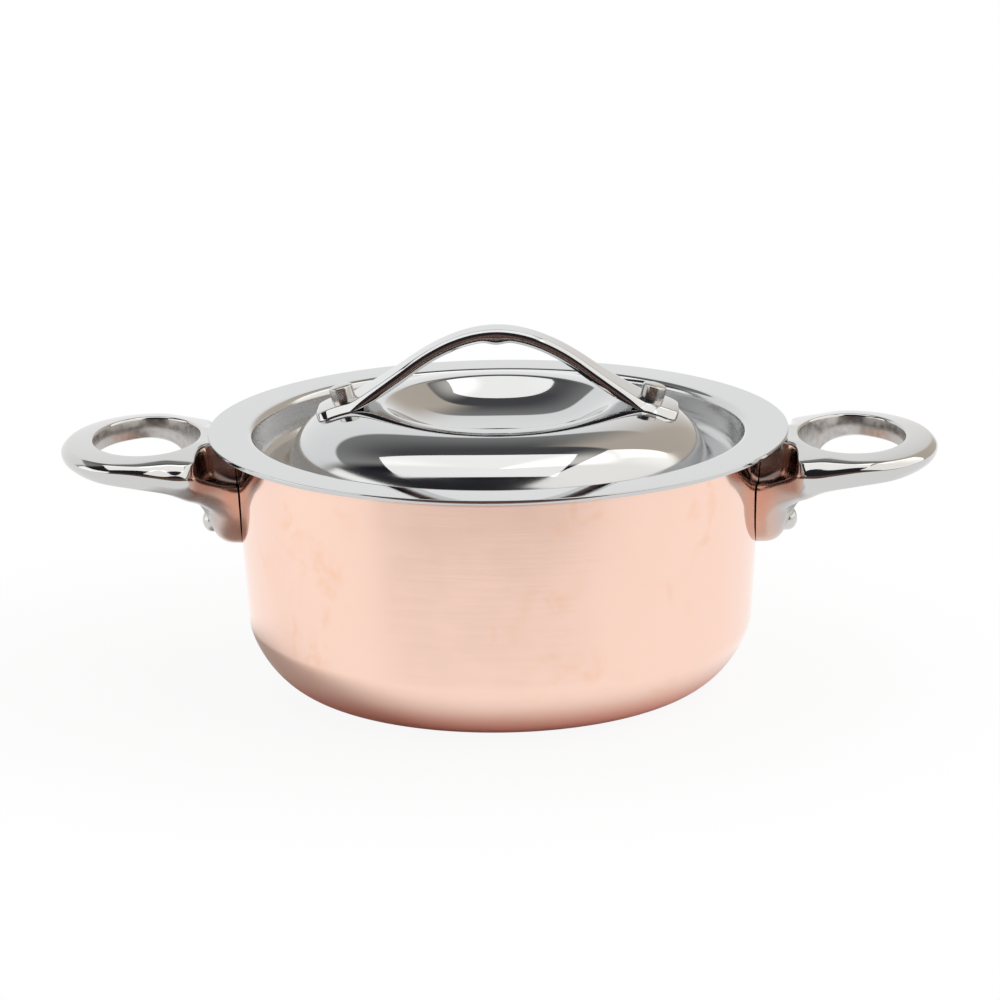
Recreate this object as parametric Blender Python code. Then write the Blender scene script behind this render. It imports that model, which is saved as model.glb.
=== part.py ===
"""Mini sauce pot: a clad copper bowl with two cast side handles, and a pressed
steel lid with an arched strap. Metres, +Z up, origin at the centre of the base."""
from collections import namedtuple
from math import asin, atan, cos, hypot, pi, radians, sin, sqrt, tan, tau

import bmesh
import bpy
from mathutils import Vector

# Clearance between pieces that touch, and how far a cutter runs past its cut
GAP = 0.0003
CUTTER_REACH = 0.0120

# Pot wall, measured on the outside of the copper
RIM_RADIUS = 0.0525
POT_HEIGHT = 0.0498
WALL_TAPER = 0.062
KNEE_HEIGHT = 0.0128
BASE_RADIUS = 0.0380
KNEE_PULL = 0.0035
BASE_PULL = 0.0068
COPPER_SHEET = 0.0005
CORE_SHEET = 0.0009
LINER_SHEET = 0.0005

# Lid, pressed from one sheet
LID_SHEET = 0.0009
FLANGE_RADIUS = 0.0574
FLANGE_EDGE_BREAK = 0.0002
SPIGOT_CLEARANCE = 0.0006
SHOULDER_RADIUS = 0.0017
TROUGH_DEPTH = 0.0078
TROUGH_FILLET = 0.0028
DOME_RADIUS = 0.0410
DOME_DROP = 0.0102
DOME_SWING = radians(78)
DOME_FOOT_FILLET = 0.0028
CREST_RADIUS = 0.0232
CREST_RISE = 0.0050
CREST_ROUNDING = 0.0021
DISH_EDGE_ANGLE = radians(32)
DISH_DEPTH = 0.0062
DISH_EDGE_PULL = 0.0066
DISH_FLOOR_PULL = 0.0139

# Lid handle, an arched strap whose feet follow the dome
STRAP_APEX_RISE = 0.0200
STRAP_SHEET = 0.0024
STRAP_WIDTH = 0.0064
STRAP_TOP_ROUND = 0.0006
STRAP_LOW_ROUND = 0.0003
STRAP_CROWN_PULL = 0.0079
STRAP_FLANK_REACH = 0.0183
STRAP_FLANK_RISE = 0.0128
STRAP_FLANK_ANGLE = radians(36.6)
STRAP_UPPER_PULL = 0.0044
STRAP_LOWER_PULL = 0.0030
STRAP_FOOT_REACH = 0.0360
STRAP_FOOT_LENGTH = 0.0066
STRAP_FOOT_SHEET = 0.0012
STRAP_FOOT_WIDTH = 0.0134
STRAP_FOOT_PULL = 0.0015
STRAP_CORNER = 0.0026
GRIP_BUMP_HEIGHT = 0.0006
GRIP_BUMP_REACH = 0.0036

# Rivets of the lid handle
LID_RIVET_INSET = 0.0055
LID_RIVET_HEAD_RADIUS = 0.0024
LID_RIVET_HEAD_HEIGHT = 0.0028
LID_RIVET_SHANK_RADIUS = 0.0014
LID_RIVET_TAIL_RADIUS = 0.0025
LID_RIVET_TAIL_HEIGHT = 0.0008
LID_RIVET_DOME = 0.0007

# Side handles: reaches run outward from the rim radius, drops run down from the rim
HOLE_REACH = 0.0175
HOLE_HALF_LENGTH = 0.0106
HOLE_HALF_WIDTH = 0.0158
LOOP_TIP_BAND = 0.0065
LOOP_SIDE_BAND = 0.0070
LOOP_TOP_DROP = 0.0006
LOOP_EDGE_DROP = 0.0027
LOOP_THICKNESS = 0.0045
LOOP_CROWN = 0.0001
LOOP_CROWN_SHARE = 0.6
LIP_INSET = 0.0012
LIP_RISE = 0.0014
HEEL_DEPTH = 0.0014
KEEL_INSET = 0.0018
TIP_KEEL_DEPTH = 0.0023
SIDE_KEEL_DEPTH = 0.0040
HOLE_EDGE_BREAK = 0.0005
LIP_BREAK = 0.0008
SCOOP_HOLLOW = 0.0040
EDGE_BREAK = 0.0006
HEEL_ROUNDING = 0.0010
KEEL_ROUNDING = 0.0025

# Rivets of the side handles
SIDE_RIVET_DROP = 0.0179
SIDE_RIVET_SEAT_REACH = 0.0034
SIDE_RIVET_HEAD_RADIUS = 0.00245
SIDE_RIVET_HEAD_HEIGHT = 0.0031
SIDE_RIVET_SHANK_RADIUS = 0.0015
SIDE_RIVET_TAIL_RADIUS = 0.0030
SIDE_RIVET_TAIL_HEIGHT = 0.0010
SIDE_RIVET_DOME = 0.0016

# Fineness of the turned pieces
TURN_STEPS = 48
RIVET_STEPS = 16

COPPER = ("copper", (0.93, 0.60, 0.46, 1.0), 0.28)
ALUMINIUM = ("aluminium", (0.80, 0.81, 0.82, 1.0), 0.45)
BRUSHED_STEEL = ("brushed_steel", (0.66, 0.65, 0.63, 1.0), 0.30)
POLISHED_STEEL = ("polished_steel", (0.72, 0.72, 0.71, 1.0), 0.08)
CAST_STEEL = ("cast_steel", (0.70, 0.69, 0.67, 1.0), 0.18)

FLANGE_TOP = POT_HEIGHT + GAP + LID_SHEET
WALL_SHEET = COPPER_SHEET + CORE_SHEET + LINER_SHEET + 2 * GAP


def clear_scene():
    for old in list(bpy.data.objects):
        bpy.data.objects.remove(old, do_unlink=True)


def metal(finish):
    name, colour, roughness = finish
    material = bpy.data.materials.get(name) or bpy.data.materials.new(name)
    material.use_nodes = True
    shader = material.node_tree.nodes["Principled BSDF"]
    shader.inputs["Base Color"].default_value = colour
    shader.inputs["Metallic"].default_value = 1.0
    shader.inputs["Roughness"].default_value = roughness
    material.diffuse_color = colour
    return material


def object_from(bm, name, finish=None):
    bmesh.ops.recalc_face_normals(bm, faces=bm.faces)
    mesh = bpy.data.meshes.new(name)
    bm.to_mesh(mesh)
    bm.free()
    mesh.shade_smooth()
    mesh.set_sharp_from_angle(angle=radians(35))
    piece = bpy.data.objects.new(name, mesh)
    bpy.context.scene.collection.objects.link(piece)
    if finish:
        mesh.materials.append(metal(finish))
    return piece


def turned(name, outline, finish=None, steps=TURN_STEPS):
    """Spin an outline of (radius, height) that starts and ends on the axis."""
    bm = bmesh.new()
    points = [bm.verts.new((radius, 0.0, height)) for radius, height in outline]
    edges = [bm.edges.new(pair) for pair in zip(points, points[1:])]
    bmesh.ops.spin(bm, geom=points + edges, cent=(0, 0, 0), axis=(0, 0, 1),
                   angle=tau, steps=steps, use_duplicate=False)
    bmesh.ops.remove_doubles(bm, verts=bm.verts, dist=1e-6)
    bmesh.ops.dissolve_degenerate(bm, edges=bm.edges, dist=1e-7)
    return object_from(bm, name, finish)


def lofted(name, sections, finish, ring):
    """Skin equal sections, either round in a ring or from cap to cap."""
    bm = bmesh.new()
    rows = [[bm.verts.new(point) for point in section] for section in sections]
    pairs = list(zip(rows, rows[1:]))
    if ring:
        pairs.append((rows[-1], rows[0]))
    for row, following in pairs:
        for k in range(len(row)):
            bm.faces.new((row[k - 1], row[k], following[k], following[k - 1]))
    if not ring:
        bm.faces.new(rows[0])
        bm.faces.new(rows[-1])
    return object_from(bm, name, finish)


def cut(piece, cutter):
    cutter.hide_render = True
    cutter.display_type = "WIRE"
    modifier = piece.modifiers.new("cut_" + cutter.name, "BOOLEAN")
    modifier.operation = "DIFFERENCE"
    modifier.solver = "EXACT"
    modifier.object = cutter


def bezier(start, start_pull, end_pull, end, steps):
    points = []
    for k in range(steps + 1):
        t = k / steps
        s = 1 - t
        points.append(start * s ** 3 + start_pull * 3 * s * s * t
                      + end_pull * 3 * s * t * t + end * t ** 3)
    return points


def rounded(corners):
    """Round each (point, cut, steps) corner with a short curve tangent to its sides.
    A cut of 0 leaves the point as it is, as the ends of an open path need."""
    points = []
    count = len(corners)
    for k, (point, reach, steps) in enumerate(corners):
        if reach == 0:
            points.append(point)
            continue
        before = corners[k - 1][0] - point
        after = corners[(k + 1) % count][0] - point
        start = point + before * min(0.45, reach / max(before.length, 1e-9))
        end = point + after * min(0.45, reach / max(after.length, 1e-9))
        for i in range(steps + 1):
            t = i / steps
            points.append(start * (1 - t) ** 2 + point * 2 * t * (1 - t) + end * t * t)
    return points


def offset(points, depth):
    """Shift a path of (radius, height) to its right-hand side by a depth."""
    shifted = []
    for k, point in enumerate(points):
        along = points[min(k + 1, len(points) - 1)] - points[max(k - 1, 0)]
        along.normalize()
        shifted.append(point + Vector((along.y, -along.x)) * depth)
    return shifted


# Pot

def wall_radius(height):
    return RIM_RADIUS - WALL_TAPER * (POT_HEIGHT - height)


def wall_surface(depth):
    """From rim to axis: the pot's outside shifted inward through the wall."""
    knee = Vector((wall_radius(KNEE_HEIGHT), KNEE_HEIGHT))
    down_wall = Vector((-WALL_TAPER, -1.0)).normalized()
    base = Vector((BASE_RADIUS, 0.0))
    corner = bezier(knee, knee + down_wall * KNEE_PULL,
                    base + Vector((BASE_PULL, 0.0)), base, 6)
    rim = Vector((RIM_RADIUS, POT_HEIGHT))
    path = offset([rim] + corner + [Vector((0.0, 0.0))], depth)
    path[0] = Vector((RIM_RADIUS - depth * hypot(1, WALL_TAPER), POT_HEIGHT))
    path[-2] = Vector((BASE_RADIUS, depth))
    path[-1] = Vector((0.0, depth))
    return path


def pot_layer(name, outside, sheet, finish):
    outer = wall_surface(outside)
    inner = wall_surface(outside + sheet)
    return turned(name, outer[::-1] + inner, finish)


def make_pot():
    core_depth = COPPER_SHEET + GAP
    liner_depth = core_depth + CORE_SHEET + GAP
    return [pot_layer("copper_shell", 0.0, COPPER_SHEET, COPPER),
            pot_layer("aluminium_core", core_depth, CORE_SHEET, ALUMINIUM),
            pot_layer("steel_liner", liner_depth, LINER_SHEET, BRUSHED_STEEL)]


# Lid

def dome_rise(radius):
    """Height of the dome above the flange, outside the crest."""
    share = (radius - CREST_RADIUS) / (DOME_RADIUS - CREST_RADIUS)
    return CREST_RISE - DOME_DROP * (1 - sqrt(max(0.0, 1 - share * share)))


def dome_slope(radius):
    span = DOME_RADIUS - CREST_RADIUS
    share = (radius - CREST_RADIUS) / span
    return DOME_DROP / span * share / sqrt(1 - share * share)


def lid_surface():
    """Upper face of the lid from the flange edge to the axis."""
    spigot = RIM_RADIUS - WALL_SHEET - SPIGOT_CLEARANCE - LID_SHEET
    floor_spigot = spigot - WALL_TAPER * TROUGH_DEPTH
    dome_base = CREST_RISE - DOME_DROP
    span = DOME_RADIUS - CREST_RADIUS

    def on_dome(swing):
        return Vector((CREST_RADIUS + span * sin(swing), dome_base + DOME_DROP * cos(swing)))

    skirt = on_dome(DOME_SWING)
    skirt_run = (skirt.y + TROUGH_DEPTH) / (DOME_DROP / span * tan(DOME_SWING))
    trough = rounded([(Vector((FLANGE_RADIUS - FLANGE_EDGE_BREAK, 0.0)), 0, 0),
                      (Vector((spigot, 0.0)), SHOULDER_RADIUS, 2),
                      (Vector((floor_spigot, -TROUGH_DEPTH)), TROUGH_FILLET, 2),
                      (Vector((skirt.x + skirt_run, -TROUGH_DEPTH)), DOME_FOOT_FILLET, 2),
                      (skirt, 0, 0)])
    dome = [on_dome(DOME_SWING * (1 - k / 6)) for k in range(1, 7)]
    crest = []
    for k in (1, 2):
        tilt = DISH_EDGE_ANGLE * k / 2
        crest.append(Vector((CREST_RADIUS - CREST_ROUNDING * sin(tilt),
                             CREST_RISE - CREST_ROUNDING * (1 - cos(tilt)))))
    down_dish = Vector((-cos(DISH_EDGE_ANGLE), -sin(DISH_EDGE_ANGLE)))
    floor = Vector((0.0, CREST_RISE - DISH_DEPTH))
    dish = bezier(crest[-1], crest[-1] + down_dish * DISH_EDGE_PULL,
                  floor + Vector((DISH_FLOOR_PULL, 0.0)), floor, 3)[1:]
    return [point + Vector((0.0, FLANGE_TOP)) for point in trough + dome + crest + dish]


def make_lid_shell():
    upper = lid_surface()
    lower = offset(upper, -LID_SHEET)
    lower[-1] = Vector((0.0, upper[-1].y - LID_SHEET))
    edge = [Vector((FLANGE_RADIUS, FLANGE_TOP - FLANGE_EDGE_BREAK)),
            Vector((FLANGE_RADIUS, FLANGE_TOP - LID_SHEET + FLANGE_EDGE_BREAK))]
    return turned("lid_shell", upper[::-1] + edge + lower, POLISHED_STEEL)


# Lid handle

STRAP_FOOT_START = STRAP_FOOT_REACH - STRAP_FOOT_LENGTH
LID_RIVET_REACH = STRAP_FOOT_REACH - LID_RIVET_INSET
StrapPoint = namedtuple("StrapPoint", "place fall width sheet foot_share")


def foot_tilt(reach):
    return atan(dome_slope(reach))


def foot_top(reach):
    """Top line of a foot, which lies a gap above the dome."""
    rise = dome_rise(reach) + (GAP + STRAP_FOOT_SHEET) / cos(foot_tilt(reach))
    return Vector((reach, FLANGE_TOP + rise))


def strap_half():
    """Top line of the strap from the middle of the arch to the end of a foot."""
    crown = Vector((0.0, FLANGE_TOP + STRAP_APEX_RISE))
    middle = Vector((STRAP_FLANK_REACH, FLANGE_TOP + STRAP_FLANK_RISE))
    down_flank = Vector((cos(STRAP_FLANK_ANGLE), -sin(STRAP_FLANK_ANGLE)))
    foot = foot_top(STRAP_FOOT_START)
    tilt = foot_tilt(STRAP_FOOT_START)
    down_foot = Vector((cos(tilt), -sin(tilt)))
    path = bezier(crown, crown + Vector((STRAP_CROWN_PULL, 0.0)),
                  middle - down_flank * STRAP_UPPER_PULL, middle, 10)
    path += bezier(middle, middle + down_flank * STRAP_LOWER_PULL,
                   foot - down_foot * STRAP_FOOT_PULL, foot, 6)[1:]
    for back in (0.8, 0.5, 0.25, 0.1, 0.0):
        path.append(foot_top(STRAP_FOOT_REACH - STRAP_CORNER * back))
    return path


def strap_point(path, k):
    ahead = path[min(k + 1, len(path) - 1)]
    behind = path[k - 1] if k else Vector((-ahead.x, ahead.y))
    place = path[k]
    along = (ahead - behind).normalized()
    share = min(1.0, place.x / STRAP_FOOT_START)
    width = STRAP_WIDTH + (STRAP_FOOT_WIDTH - STRAP_WIDTH) * share ** 3
    from_end = abs(STRAP_FOOT_REACH - place.x)
    if from_end < STRAP_CORNER:
        lost = STRAP_CORNER - sqrt(STRAP_CORNER ** 2 - (STRAP_CORNER - from_end) ** 2)
        width -= 2 * lost
    foot_share = share ** 10
    sheet = STRAP_SHEET + (STRAP_FOOT_SHEET - STRAP_SHEET) * foot_share
    if place.x < GRIP_BUMP_REACH:
        sheet += GRIP_BUMP_HEIGHT * (1 + cos(pi * place.x / GRIP_BUMP_REACH)) / 2
    return StrapPoint(place, -asin(along.y), width, sheet, foot_share)


def strap_section(point, side):
    inward = Vector((-side * sin(point.fall), 0.0, -cos(point.fall)))
    top = Vector((side * point.place.x, 0.0, point.place.y))
    half = point.width / 2
    reach = point.place.x
    drop = dome_rise(hypot(reach, half)) - dome_rise(reach)
    wing = Vector((0.0, 0.0, drop * point.foot_share))
    left = wing - Vector((0.0, half, 0.0))
    right = wing + Vector((0.0, half, 0.0))
    low = inward * point.sheet
    return rounded([(top, 0, 0), (top + right, STRAP_TOP_ROUND, 2),
                    (top + right + low, STRAP_LOW_ROUND, 1), (top + low, 0, 0),
                    (top + left + low, STRAP_LOW_ROUND, 1),
                    (top + left, STRAP_TOP_ROUND, 2)])


def make_lid_handle():
    path = strap_half()
    points = [strap_point(path, k) for k in range(len(path))]
    sections = [strap_section(point, -1) for point in points[:0:-1]]
    sections += [strap_section(point, 1) for point in points]
    return lofted("lid_handle", sections, POLISHED_STEEL, ring=False)


# Rivets

def rivet(name, head_radius, head_height, shank_radius, grip, tail_radius, tail_height,
          dome, finish):
    """A turned rivet whose head rests a gap above z = 0 and whose shank runs down."""
    top = GAP + head_height
    shoulder = top - dome
    tail_top = GAP - grip
    outline = [(0.0, tail_top - tail_height), (tail_radius, tail_top - tail_height),
               (tail_radius, tail_top), (shank_radius, tail_top), (shank_radius, GAP),
               (head_radius, GAP), (head_radius, shoulder)]
    for k in (1, 2, 3):
        swing = pi / 2 * k / 3
        outline.append((head_radius * cos(swing), shoulder + dome * sin(swing)))
    outline[-1] = (0.0, top)
    return turned(name, outline, finish, RIVET_STEPS)


def bore(name, radius, low, high):
    return turned(name, [(0.0, low), (radius, low), (radius, high), (0.0, high)],
                  steps=RIVET_STEPS)


def make_lid_rivet(side, word):
    """Place a rivet through a foot of the strap and return its drill."""
    sheets = STRAP_FOOT_SHEET + GAP + LID_SHEET
    sag = LID_RIVET_TAIL_RADIUS ** 2 / (2 * (DOME_RADIUS - CREST_RADIUS))
    piece = rivet("lid_rivet_" + word, LID_RIVET_HEAD_RADIUS, LID_RIVET_HEAD_HEIGHT,
                  LID_RIVET_SHANK_RADIUS, sheets + 2 * GAP + sag,
                  LID_RIVET_TAIL_RADIUS, LID_RIVET_TAIL_HEIGHT, LID_RIVET_DOME,
                  BRUSHED_STEEL)
    drill = bore("lid_drill_" + word, LID_RIVET_SHANK_RADIUS + GAP,
                 -CUTTER_REACH / 2, CUTTER_REACH / 2)
    for placed in (piece, drill):
        placed.location = (side * LID_RIVET_REACH, 0.0, foot_top(LID_RIVET_REACH).y)
        placed.rotation_euler = (0.0, side * foot_tilt(LID_RIVET_REACH), 0.0)
    return drill


def make_side_rivet(side, word):
    """Place a rivet through a side handle and return its drill and spot facer."""
    height = POT_HEIGHT - SIDE_RIVET_DROP
    seat = RIM_RADIUS + SIDE_RIVET_SEAT_REACH
    bore_radius = wall_radius(height) - WALL_SHEET * hypot(1, WALL_TAPER)
    sag = bore_radius - sqrt(bore_radius ** 2 - SIDE_RIVET_TAIL_RADIUS ** 2)
    tail_seat = bore_radius - sag - WALL_TAPER * SIDE_RIVET_TAIL_RADIUS - GAP
    piece = rivet("side_handle_rivet_" + word, SIDE_RIVET_HEAD_RADIUS,
                  SIDE_RIVET_HEAD_HEIGHT, SIDE_RIVET_SHANK_RADIUS, seat + GAP - tail_seat,
                  SIDE_RIVET_TAIL_RADIUS, SIDE_RIVET_TAIL_HEIGHT, SIDE_RIVET_DOME,
                  CAST_STEEL)
    drill = bore("side_drill_" + word, SIDE_RIVET_SHANK_RADIUS + GAP,
                 -CUTTER_REACH, CUTTER_REACH)
    spot = bore("spot_face_" + word, SIDE_RIVET_HEAD_RADIUS + GAP, 0.0, CUTTER_REACH)
    for placed in (piece, drill, spot):
        placed.location = (side * seat, 0.0, height)
        placed.rotation_euler = (0.0, side * pi / 2, 0.0)
    return drill, spot


# Side handles

# The casting is skinned round its finger hole. At each turn from the tip of the loop
# to the wall, a section runs from the hole over the lip, down the scoop beside the
# neck to the widest edge, round the heel and the keel, and back to the hole.
Station = namedtuple("Station", "turn lip scoop edge heel keel hole_drop")


def root_station(turn, lip, scoop, edge, heel, keel, hole_drop):
    """A section at the root, given in shares of the hole's reach, the hole's half
    width and the rivet's drop, so the root grows with them."""
    sizes = (HOLE_REACH, HOLE_HALF_WIDTH, SIDE_RIVET_DROP)
    rails = [tuple(share * size for share, size in zip(rail, sizes))
             for rail in (lip, scoop, edge, heel, keel)]
    return Station(turn, *rails, hole_drop * SIDE_RIVET_DROP)


# From the end of the even band to the wall, the loop becomes neck and foot
ROOT = [
    root_station(115, (0.646, 1.228, 0.084), (0.629, 1.297, 0.140),
                 (0.617, 1.348, 0.207), (0.623, 1.342, 0.296),
                 (0.657, 1.215, 0.464), 0.358),
    root_station(132, (0.377, 1.114, 0.106), (0.366, 1.190, 0.196),
                 (0.354, 1.247, 0.268), (0.366, 1.228, 0.363),
                 (0.446, 1.025, 0.581), 0.514),
    root_station(145, (0.360, 0.785, 0.073), (0.309, 0.797, 0.291),
                 (0.149, 0.911, 0.363), (0.160, 0.905, 0.464),
                 (0.297, 0.785, 0.670), 0.620),
    root_station(155, (0.331, 0.551, 0.050), (0.206, 0.544, 0.335),
                 (-0.069, 0.722, 0.469), (-0.063, 0.715, 0.592),
                 (0.109, 0.684, 0.777), 0.670),
    root_station(160, (0.229, 0.443, 0.034), (0.091, 0.456, 0.324),
                 (-0.286, 0.690, 0.492), (-0.286, 0.614, 0.916),
                 (0.126, 0.557, 0.911), 0.676),
    root_station(165, (-0.086, 0.468, 0.022), (-0.143, 0.506, 0.279),
                 (-0.429, 0.646, 0.492), (-0.343, 0.481, 1.106),
                 (0.137, 0.405, 1.050), 0.682),
    root_station(172, (-0.371, 0.348, 0.017), (-0.400, 0.380, 0.268),
                 (-0.486, 0.418, 0.492), (-0.371, 0.253, 1.207),
                 (0.166, 0.196, 1.179), 0.687),
    root_station(180, (-0.371, 0.0, 0.011), (-0.429, 0.0, 0.268),
                 (-0.486, 0.0, 0.480), (-0.371, 0.0, 1.263),
                 (0.189, 0.0, 1.235), 0.693)]


def loop_station(turn):
    """A section where the loop is an even oval band."""
    ahead = cos(radians(turn))
    beside = sin(radians(turn))

    def inset(depth, drop):
        return (HOLE_REACH + (HOLE_HALF_LENGTH + LOOP_TIP_BAND - depth) * ahead,
                (HOLE_HALF_WIDTH + LOOP_SIDE_BAND - depth) * beside, drop)

    heel_drop = LOOP_EDGE_DROP + HEEL_DEPTH
    keel_drop = (LOOP_EDGE_DROP + TIP_KEEL_DEPTH
                 + (SIDE_KEEL_DEPTH - TIP_KEEL_DEPTH) * (1 - ahead))
    return Station(turn, inset(LIP_INSET, LOOP_EDGE_DROP - LIP_RISE),
                   inset(LIP_INSET / 3, LOOP_EDGE_DROP - LIP_RISE / 2),
                   inset(0.0, LOOP_EDGE_DROP), inset(LIP_INSET / 4, heel_drop),
                   inset(KEEL_INSET, keel_drop), LOOP_TOP_DROP + LOOP_THICKNESS)


def mirrored(station, turn):
    flipped = [(reach, -half, drop) for reach, half, drop in station[1:6]]
    return Station(turn, *flipped, station.hole_drop)


HALF_RING = [loop_station(turn) for turn in (0, 30, 60, 90)] + ROOT
RING = ([mirrored(HALF_RING[1], -HALF_RING[1].turn)] + HALF_RING
        + [mirrored(HALF_RING[-2], 360 - HALF_RING[-2].turn)])


def blend(before, start, end, after, turn):
    """Smooth value between two stations, each given as (turn, value)."""
    span = end[0] - start[0]
    t = (turn - start[0]) / span
    leave = (end[1] - before[1]) * (span / (end[0] - before[0]))
    arrive = (after[1] - start[1]) * (span / (after[0] - start[0]))
    return (start[1] * (2 * t ** 3 - 3 * t * t + 1) + leave * (t ** 3 - 2 * t * t + t)
            + end[1] * (3 * t * t - 2 * t ** 3) + arrive * (t ** 3 - t * t))


def station_at(turn):
    k = max(i for i in range(1, len(RING) - 2) if RING[i].turn <= turn)
    near = RING[k - 1:k + 3]

    def rail(field):
        values = [(row.turn, Vector(getattr(row, field))) for row in near]
        return blend(*values, turn)

    hole_drop = blend(*[(row.turn, row.hole_drop) for row in near], turn)
    return Station(turn, rail("lip"), rail("scoop"), rail("edge"), rail("heel"),
                   rail("keel"), hole_drop)


def handle_section(turn, side):
    mirror = -1 if turn > 180 else 1
    station = station_at(360 - turn if turn > 180 else turn)

    def placed(reach, half, drop):
        return Vector((side * (RIM_RADIUS + reach), mirror * half, POT_HEIGHT - drop))

    hole_reach = HOLE_REACH + HOLE_HALF_LENGTH * cos(radians(station.turn))
    hole_half = HOLE_HALF_WIDTH * sin(radians(station.turn))
    hole_top = placed(hole_reach, hole_half, LOOP_TOP_DROP)
    hole_low = placed(hole_reach, hole_half, station.hole_drop)
    lip = placed(*station.lip)
    crown = hole_top.lerp(lip, LOOP_CROWN_SHARE) + Vector((0.0, 0.0, LOOP_CROWN))
    return rounded([(hole_top, HOLE_EDGE_BREAK, 1), (crown, 0, 0), (lip, LIP_BREAK, 1),
                    (placed(*station.scoop), SCOOP_HOLLOW, 2),
                    (placed(*station.edge), EDGE_BREAK, 1),
                    (placed(*station.heel), HEEL_ROUNDING, 1),
                    (placed(*station.keel), KEEL_ROUNDING, 2),
                    (hole_low, HOLE_EDGE_BREAK, 1)])


def make_side_handle(side, word):
    turns = list(range(0, 105, 15)) + list(range(105, 180, 5))
    turns = turns + [180] + [360 - turn for turn in turns[:0:-1]]
    sections = [handle_section(turn, side) for turn in turns]
    return lofted("side_handle_" + word, sections, CAST_STEEL, ring=True)


def make_wall_cutter():
    low = POT_HEIGHT - SIDE_RIVET_DROP - CUTTER_REACH
    high = POT_HEIGHT + CUTTER_REACH
    return turned("wall_cutter", [(0.0, low), (wall_radius(low) + GAP, low),
                                  (wall_radius(high) + GAP, high), (0.0, high)])


def build():
    clear_scene()
    layers = make_pot()
    lid_shell = make_lid_shell()
    lid_handle = make_lid_handle()
    wall_cutter = make_wall_cutter()
    for side, word in ((1, "right"), (-1, "left")):
        handle = make_side_handle(side, word)
        side_drill, spot_face = make_side_rivet(side, word)
        for cutter in (wall_cutter, spot_face, side_drill):
            cut(handle, cutter)
        for layer in layers:
            cut(layer, side_drill)
        lid_drill = make_lid_rivet(side, word)
        cut(lid_shell, lid_drill)
        cut(lid_handle, lid_drill)


build()
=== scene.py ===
# %% [markdown]
# # A mini sauce pot in the studio
# The pot is a small clad bowl: copper outside, aluminium in the middle, steel inside.
# A pressed steel lid with an arched strap lies on its rim, and two cast loop handles
# are riveted to its wall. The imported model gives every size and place. This lesson
# builds a finer skin for each piece, gives it its metal, and sets up the studio.

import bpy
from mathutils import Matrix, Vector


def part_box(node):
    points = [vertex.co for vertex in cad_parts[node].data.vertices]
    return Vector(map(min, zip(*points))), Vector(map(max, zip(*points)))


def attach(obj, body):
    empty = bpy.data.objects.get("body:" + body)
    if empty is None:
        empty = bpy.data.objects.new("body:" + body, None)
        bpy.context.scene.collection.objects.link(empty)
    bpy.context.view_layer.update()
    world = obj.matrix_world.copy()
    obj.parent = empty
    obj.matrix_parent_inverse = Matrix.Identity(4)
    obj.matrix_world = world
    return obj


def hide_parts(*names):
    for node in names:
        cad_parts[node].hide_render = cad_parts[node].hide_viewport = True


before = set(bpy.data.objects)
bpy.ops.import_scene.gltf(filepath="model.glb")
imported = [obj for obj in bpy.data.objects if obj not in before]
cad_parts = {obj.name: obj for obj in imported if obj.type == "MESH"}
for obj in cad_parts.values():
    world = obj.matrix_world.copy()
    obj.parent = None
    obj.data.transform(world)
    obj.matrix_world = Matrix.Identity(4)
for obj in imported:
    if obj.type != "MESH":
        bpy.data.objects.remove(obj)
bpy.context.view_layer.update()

# %% [markdown]
# ## Sizes
# A piece that replaces a node has to be as big as that node, so the main sizes are
# read from the nodes' boxes. What a box can't tell, such as a fillet, is given in
# metres beside the piece it belongs to.

# %% Read the main sizes
from collections import namedtuple
from math import asin, atan, cos, hypot, pi, radians, sin, sqrt, tan

import bmesh
import bpy
from mathutils import Matrix, Vector

pot_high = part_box("copper_shell")[1]
lid_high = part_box("lid_shell")[1]
strap_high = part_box("lid_handle")[1]
loop_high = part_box("side_handle_right")[1]
RIM_RADIUS, POT_HEIGHT = pot_high.x, pot_high.z
FLANGE_RADIUS = lid_high.x
CREST_RISE = 0.0050
FLANGE_TOP = lid_high.z - CREST_RISE
CLOSE = 0.00004
print("rim radius %.1f mm, pot height %.1f mm, flange top %.1f mm"
      % (RIM_RADIUS * 1000, POT_HEIGHT * 1000, FLANGE_TOP * 1000))

# %% [markdown]
# ## Metals
# Polished metal has hardly a colour of its own: what it shows is its surroundings,
# tinted and blurred. So each finish is a Principled shader with Metallic at 1, a
# tint for the metal, and a Roughness that noise varies a little. Brushed and turned
# metal is scratched in rings, which an anisotropic shader blurs across the rings.
# The patterns read Object coordinates, so they stay with the piece from every side.

# %% Helpers for the metals
def feed(tree, socket, value):
    """Link a socket to another one, or set its value; a colour needs no alpha."""
    if isinstance(value, bpy.types.NodeSocket):
        tree.links.new(value, socket)
    elif socket.type == "RGBA":
        socket.default_value = (*value, 1.0)
    else:
        socket.default_value = value


def join(tree, node, **sockets):
    """Feed a node's inputs, named with _ for a space."""
    for label, value in sockets.items():
        feed(tree, node.inputs[label.replace("_", " ")], value)
    return node


def add_node(tree, kind, **sockets):
    """Add a node, feed its inputs and give back its first output."""
    return join(tree, tree.nodes.new(kind), **sockets).outputs[0]


def metal_nodes(name, roughness, anisotropy=0.0):
    material = bpy.data.materials.new(name)
    material.use_nodes = True
    tree = material.node_tree
    shader = join(tree, tree.nodes["Principled BSDF"], Metallic=1.0,
                  Roughness=roughness, Anisotropic=anisotropy)
    return material, tree, shader


def add_math(tree, operation, *values):
    node = tree.nodes.new("ShaderNodeMath")
    node.operation = operation
    for socket, value in zip(node.inputs, values):
        feed(tree, socket, value)
    return node.outputs[0]


def multiply(tree, *factors):
    product = factors[0]
    for factor in factors[1:]:
        product = add_math(tree, "MULTIPLY", product, factor)
    return product


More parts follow.
